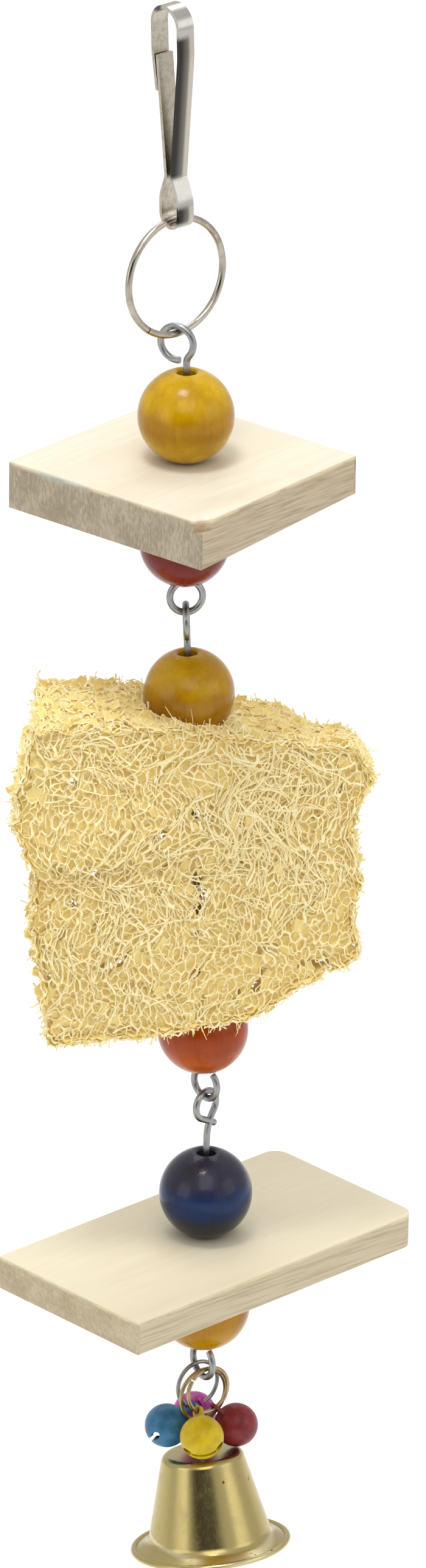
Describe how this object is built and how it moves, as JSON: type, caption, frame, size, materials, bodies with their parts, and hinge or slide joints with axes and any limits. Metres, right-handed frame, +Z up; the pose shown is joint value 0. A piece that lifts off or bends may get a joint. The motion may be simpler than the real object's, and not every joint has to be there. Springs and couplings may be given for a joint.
{
  "type": "hanging bird chew toy",
  "caption": "Hanging bird chew toy: a spring clip and ring carry linked bent wires strung with dyed beads, pine boards and a loofah slab, above a cone bell with small jingle bells.",
  "frame": {"origin": "on the axis of the clip's top bend, where the toy hangs, in the middle of the strip's width", "axes": "+Z up against gravity, +X to the right and +Y away from the viewer of the picture; the chain hangs down -Z"},
  "size_m": [0.0862, 0.0841, 0.344],
  "materials": {
    "clip_steel": "bright plated strip",
    "ring_steel": "smooth wire",
    "wire_steel": "dull drawn wire",
    "ring_bronze": "dull bronze plating",
    "yellow_wood": "dyed and lacquered, gloss",
    "amber_wood": "dyed and lacquered, gloss",
    "red_wood": "dyed and lacquered, gloss",
    "orange_wood": "dyed and lacquered, gloss",
    "blue_wood": "dyed and lacquered, gloss",
    "pine": "sawn, unfinished",
    "pale_pine": "planed, unfinished",
    "loofah_fibre": "dry plant fibre net",
    "yellow_paint": "gloss paint",
    "maroon_paint": "gloss paint",
    "blue_paint": "gloss paint",
    "magenta_paint": "gloss paint",
    "bell_brass": "satin, faintly brushed"
  },
  "bodies": {
    "clip": {"spring_clip": "clip_steel"},
    "ring": {"hanging_ring": "ring_steel"},
    "upper_wire": {"upper_eye_wire": "wire_steel"},
    "red_bead": {"red_bead": "red_wood"},
    "square_board": {"square_board": "pine"},
    "upper_yellow_bead": {"upper_yellow_bead": "yellow_wood"},
    "middle_wire": {"middle_eye_wire": "wire_steel"},
    "orange_bead": {"orange_bead": "orange_wood"},
    "loofah": {"loofah_slab": "loofah_fibre"},
    "middle_yellow_bead": {"middle_yellow_bead": "amber_wood"},
    "lower_wire": {"lower_eye_wire": "wire_steel"},
    "lower_yellow_bead": {"lower_yellow_bead": "yellow_wood"},
    "rectangular_board": {"rectangular_board": "pale_pine"},
    "blue_bead": {"blue_bead": "blue_wood"},
    "bell_ring": {"bell_ring": "ring_bronze"},
    "front_ring": {"front_jingle_ring": "ring_steel"},
    "back_ring": {"back_jingle_ring": "ring_steel"},
    "cone_bell": {"bell_shell": "bell_brass", "bell_hanger": "wire_steel"},
    "clapper": {"clapper": "wire_steel"},
    "yellow_bell": {"yellow_jingle_bell": "yellow_paint", "yellow_pellet": "wire_steel"},
    "red_bell": {"red_jingle_bell": "maroon_paint", "red_pellet": "wire_steel"},
    "blue_bell": {"blue_jingle_bell": "blue_paint", "blue_pellet": "wire_steel"},
    "magenta_bell": {"magenta_jingle_bell": "magenta_paint", "magenta_pellet": "wire_steel"}
  },
  "joints": [
    {"name": "ring_swing", "type": "hinge", "parent": "clip", "child": "ring", "pos_m": [-0.00047, -0.00038, -0.04084], "axis": [0.7771, 0.6293, 0], "range_deg": [-25, 25]},
    {"name": "upper_wire_swing", "type": "hinge", "parent": "ring", "child": "upper_wire", "pos_m": [-0.00047, -0.00038, -0.06519], "axis": [0.7771, 0.6293, 0], "range_deg": [-25, 25]},
    {"name": "middle_wire_swing", "type": "hinge", "parent": "upper_wire", "child": "middle_wire", "pos_m": [0.00002, -0.00122, -0.12544], "axis": [0.9843, 0.1736, -0.0327], "range_deg": [-20, 20]},
    {"name": "lower_wire_swing", "type": "hinge", "parent": "middle_wire", "child": "lower_wire", "pos_m": [0.00188, -0.00106, -0.23463], "axis": [0.707, -0.7071, 0.0111], "range_deg": [-20, 20]},
    {"name": "red_bead_spin", "type": "hinge", "parent": "upper_wire", "child": "red_bead", "pos_m": [0.00153, -0.00131, -0.06525], "axis": [0.0332, 0, 0.9995], "continuous": true},
    {"name": "square_board_spin", "type": "hinge", "parent": "upper_wire", "child": "square_board", "pos_m": [0.00153, -0.00131, -0.06525], "axis": [0.0332, 0, 0.9995], "continuous": true},
    {"name": "upper_yellow_bead_spin", "type": "hinge", "parent": "upper_wire", "child": "upper_yellow_bead", "pos_m": [0.00153, -0.00131, -0.06525], "axis": [0.0332, 0, 0.9995], "continuous": true},
    {"name": "orange_bead_spin", "type": "hinge", "parent": "middle_wire", "child": "orange_bead", "pos_m": [0.00002, -0.00092, -0.12544], "axis": [-0.0157, 0, 0.9999], "continuous": true},
    {"name": "loofah_spin", "type": "hinge", "parent": "middle_wire", "child": "loofah", "pos_m": [0.00002, -0.00092, -0.12544], "axis": [-0.0157, 0, 0.9999], "continuous": true},
    {"name": "middle_yellow_bead_spin", "type": "hinge", "parent": "middle_wire", "child": "middle_yellow_bead", "pos_m": [0.00002, -0.00092, -0.12544], "axis": [-0.0157, 0, 0.9999], "continuous": true},
    {"name": "lower_yellow_bead_spin", "type": "hinge", "parent": "lower_wire", "child": "lower_yellow_bead", "pos_m": [0.00215, -0.00076, -0.23464], "axis": [0.0384, 0, 0.9993], "continuous": true},
    {"name": "rectangular_board_spin", "type": "hinge", "parent": "lower_wire", "child": "rectangular_board", "pos_m": [0.00215, -0.00076, -0.23464], "axis": [0.0384, 0, 0.9993], "continuous": true},
    {"name": "blue_bead_spin", "type": "hinge", "parent": "lower_wire", "child": "blue_bead", "pos_m": [0.00215, -0.00076, -0.23464], "axis": [0.0384, 0, 0.9993], "continuous": true},
    {"name": "bell_ring_swing", "type": "hinge", "parent": "lower_wire", "child": "bell_ring", "pos_m": [-0.00022, -0.00093, -0.2992], "axis": [0.5588, -0.829, -0.0215], "range_deg": [-15, 15]},
    {"name": "front_ring_swing", "type": "hinge", "parent": "lower_wire", "child": "front_ring", "pos_m": [-0.00022, -0.00093, -0.2992], "axis": [0.5588, -0.829, -0.0215], "range_deg": [-15, 15]},
    {"name": "back_ring_swing", "type": "hinge", "parent": "lower_wire", "child": "back_ring", "pos_m": [-0.00022, -0.00093, -0.2992], "axis": [0.5588, -0.829, -0.0215], "range_deg": [-15, 15]},
    {"name": "cone_bell_swing", "type": "hinge", "parent": "bell_ring", "child": "cone_bell", "pos_m": [-0.00122, -0.0016, -0.30913], "axis": [0.829, 0.5592, 0], "range_deg": [-4, 12]},
    {"name": "clapper_swing", "type": "hinge", "parent": "cone_bell", "child": "clapper", "pos_m": [-0.00043, -0.0034, -0.32046], "axis": [-0.5488, 0.8188, -0.1684], "range_deg": [-15, 15]},
    {"name": "yellow_bell_swing", "type": "hinge", "parent": "front_ring", "child": "yellow_bell", "pos_m": [-0.00132, -0.00396, -0.3061], "axis": [0.7157, 0.4248, -0.5544], "range_deg": [-12, 12]},
    {"name": "red_bell_swing", "type": "hinge", "parent": "front_ring", "child": "red_bell", "pos_m": [0.00239, -0.00146, -0.30647], "axis": [0.5903, 0.4929, 0.6392], "range_deg": [-12, 2]},
    {"name": "blue_bell_swing", "type": "hinge", "parent": "back_ring", "child": "blue_bell", "pos_m": [-0.00313, -0.0006, -0.30631], "axis": [0.4705, 0.4535, -0.757], "range_deg": [-5, 5]},
    {"name": "magenta_bell_swing", "type": "hinge", "parent": "back_ring", "child": "magenta_bell", "pos_m": [-0.00066, 0.00107, -0.30677], "axis": [0.8431, 0.494, 0.2126], "range_deg": [-10, 10]}
  ],
  "couplings": [
    {"joint": "front_ring_swing", "follows": "bell_ring_swing", "ratio": 1},
    {"joint": "back_ring_swing", "follows": "bell_ring_swing", "ratio": 1}
  ]
}
